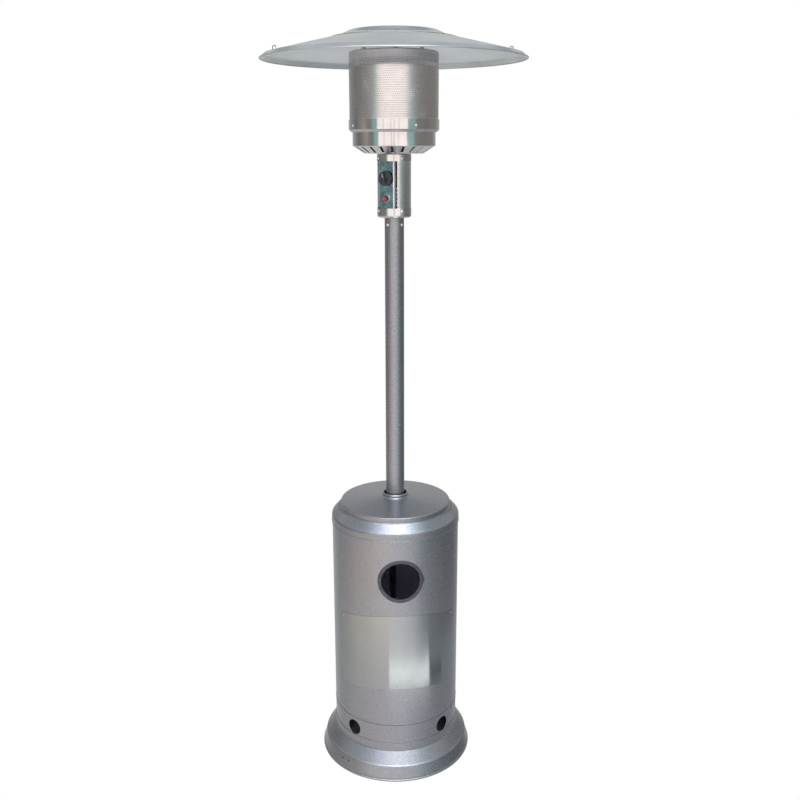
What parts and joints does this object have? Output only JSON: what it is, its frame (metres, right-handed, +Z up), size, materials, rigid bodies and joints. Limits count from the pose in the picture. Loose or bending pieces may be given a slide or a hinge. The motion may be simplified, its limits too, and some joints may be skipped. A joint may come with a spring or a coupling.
{
  "type": "patio heater",
  "caption": "Free-standing gas patio heater: round base, bottle housing that lifts on the post, knob and igniter in a control head, perforated emitter and wide reflector.",
  "frame": {"origin": "On the floor, under the middle of the post: the middle of the underside of the bounding box.", "axes": "+Z up along the post, which is the longest extent; -Y the front, with the round opening and the front plate; +X to the right of someone who faces the front."},
  "size_m": [0.75, 0.75, 2.238],
  "materials": {
    "hammertone": "silver-grey hammertone paint, glossy, dimpled",
    "bare_steel": "galvanised sheet",
    "leg_paint": "black paint",
    "zinc": "zinc plated",
    "edging_rubber": "extruded edging, matt",
    "stainless_plate": "brushed stainless sheet",
    "stainless": "stainless sheet, satin",
    "polished_steel": "mirror polished stainless sheet",
    "chrome": "chrome plated",
    "brass": "turned brass",
    "black_plastic": "moulded, fine grain",
    "red_plastic": "moulded, glossy",
    "red_print": "printed enamel",
    "ceramic": "glazed ceramic",
    "aluminium": "spun sheet, satin"
  },
  "bodies": {
    "frame": {"base_skirt": "hammertone", "base_board": "bare_steel", "base_drum": "hammertone", "base_bolts": "zinc", "leg_left": "leg_paint", "leg_right": "leg_paint", "leg_rear": "leg_paint", "post_holder": "bare_steel", "holder_bolts": "zinc", "post": "hammertone", "post_foot_screws": "zinc", "post_head_screws": "zinc", "lower_cup": "polished_steel", "head_spigot": "bare_steel", "control_sleeve": "stainless", "control_panel": "polished_steel", "panel_marks": "red_print", "upper_cup": "polished_steel", "cup_screws": "zinc", "gas_pipe": "brass", "gas_inlet": "brass", "gas_valve": "brass", "igniter_body": "black_plastic", "igniter_nut": "chrome", "tilt_switch": "black_plastic", "injector": "brass", "mixing_tube": "stainless", "burner": "stainless", "burner_tray": "stainless", "pilot_burner": "brass", "thermocouple": "stainless", "electrode": "ceramic", "louvre_dish": "polished_steel", "lower_band": "polished_steel", "upper_band": "polished_steel", "band_screws": "zinc", "emitter_screen": "stainless", "screen_top": "stainless", "reflector_studs": "zinc", "stud_spacers": "zinc", "stud_nuts": "zinc", "reflector_front": "aluminium", "reflector_rear": "aluminium", "crown": "aluminium", "crown_screws": "zinc", "seam_clips": "zinc"},
    "tank_housing": {"housing": "hammertone", "opening_edging": "edging_rubber", "front_plate": "stainless_plate", "plate_rivets": "zinc", "housing_cover": "hammertone"},
    "valve_plunger": {"valve_plunger": "zinc"},
    "control_knob": {"control_knob": "black_plastic", "valve_spindle": "zinc"},
    "igniter_button": {"igniter_button": "red_plastic"}
  },
  "joints": [
    {"name": "housing_lift", "type": "slide", "parent": "frame", "child": "tank_housing", "axis": [0, 0, 1], "range_m": [0, 0.84]},
    {"name": "knob_push", "type": "slide", "parent": "frame", "child": "valve_plunger", "axis": [0.5736, 0.8192, 0], "range_m": [0, 0.003], "stiffness_N_per_m": 1500, "springref_m": -0.002},
    {"name": "knob_turn", "type": "hinge", "parent": "valve_plunger", "child": "control_knob", "pos_m": [0, 0, 1.8395], "axis": [-0.5736, -0.8192, 0], "range_deg": [0, 240]},
    {"name": "igniter_push", "type": "slide", "parent": "frame", "child": "igniter_button", "axis": [0.5736, 0.8192, 0], "range_m": [0, 0.006], "stiffness_N_per_m": 600, "springref_m": -0.003}
  ]
}
